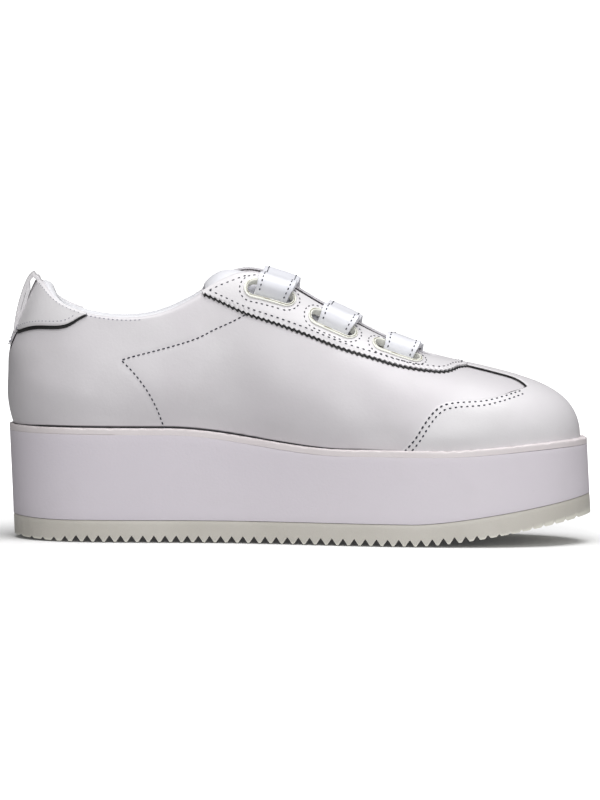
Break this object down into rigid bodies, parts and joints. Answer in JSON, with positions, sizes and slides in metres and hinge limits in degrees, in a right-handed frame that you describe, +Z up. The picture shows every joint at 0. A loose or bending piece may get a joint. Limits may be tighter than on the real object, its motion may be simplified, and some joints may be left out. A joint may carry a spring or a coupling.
{
  "type": "platform sneaker",
  "caption": "Low platform sneaker with a thick foam sole, sawtooth rubber tread, hollow leather upper and wide straps over a padded tongue.",
  "frame": {"origin": "centre of the object's box in plan, on the floor under the tread", "axes": "+X from the heel to the toe, +Y from the inner side of the foot to the outer side, +Z up"},
  "size_m": [0.2628, 0.094, 0.1234],
  "materials": {
    "tread_rubber": "milky grey-beige rubber, satin",
    "sole_foam": "smooth white moulded foam, satin",
    "welt_strip": "cream strip with a wheeled edge",
    "lining": "close knitted white lining",
    "white_leather": "smooth white leather, soft sheen",
    "overlay_leather": "smooth white leather with dark stitched edges",
    "strap_leather": "smooth white leather, edges stitched",
    "slot_rim": "cream moulded rim, satin"
  },
  "bodies": {
    "root": {"outsole": "tread_rubber", "midsole": "sole_foam", "welt": "welt_strip", "insole": "lining", "upper": "white_leather", "tongue": "white_leather", "facing": "overlay_leather", "toe_overlay": "overlay_leather", "heel_tab": "overlay_leather", "pull_loop": "overlay_leather", "strap_top": "strap_leather", "strap_middle": "strap_leather", "strap_front": "strap_leather", "slot_rim_top": "slot_rim", "slot_rim_middle": "slot_rim", "slot_rim_front": "slot_rim"}
  },
  "joints": []
}
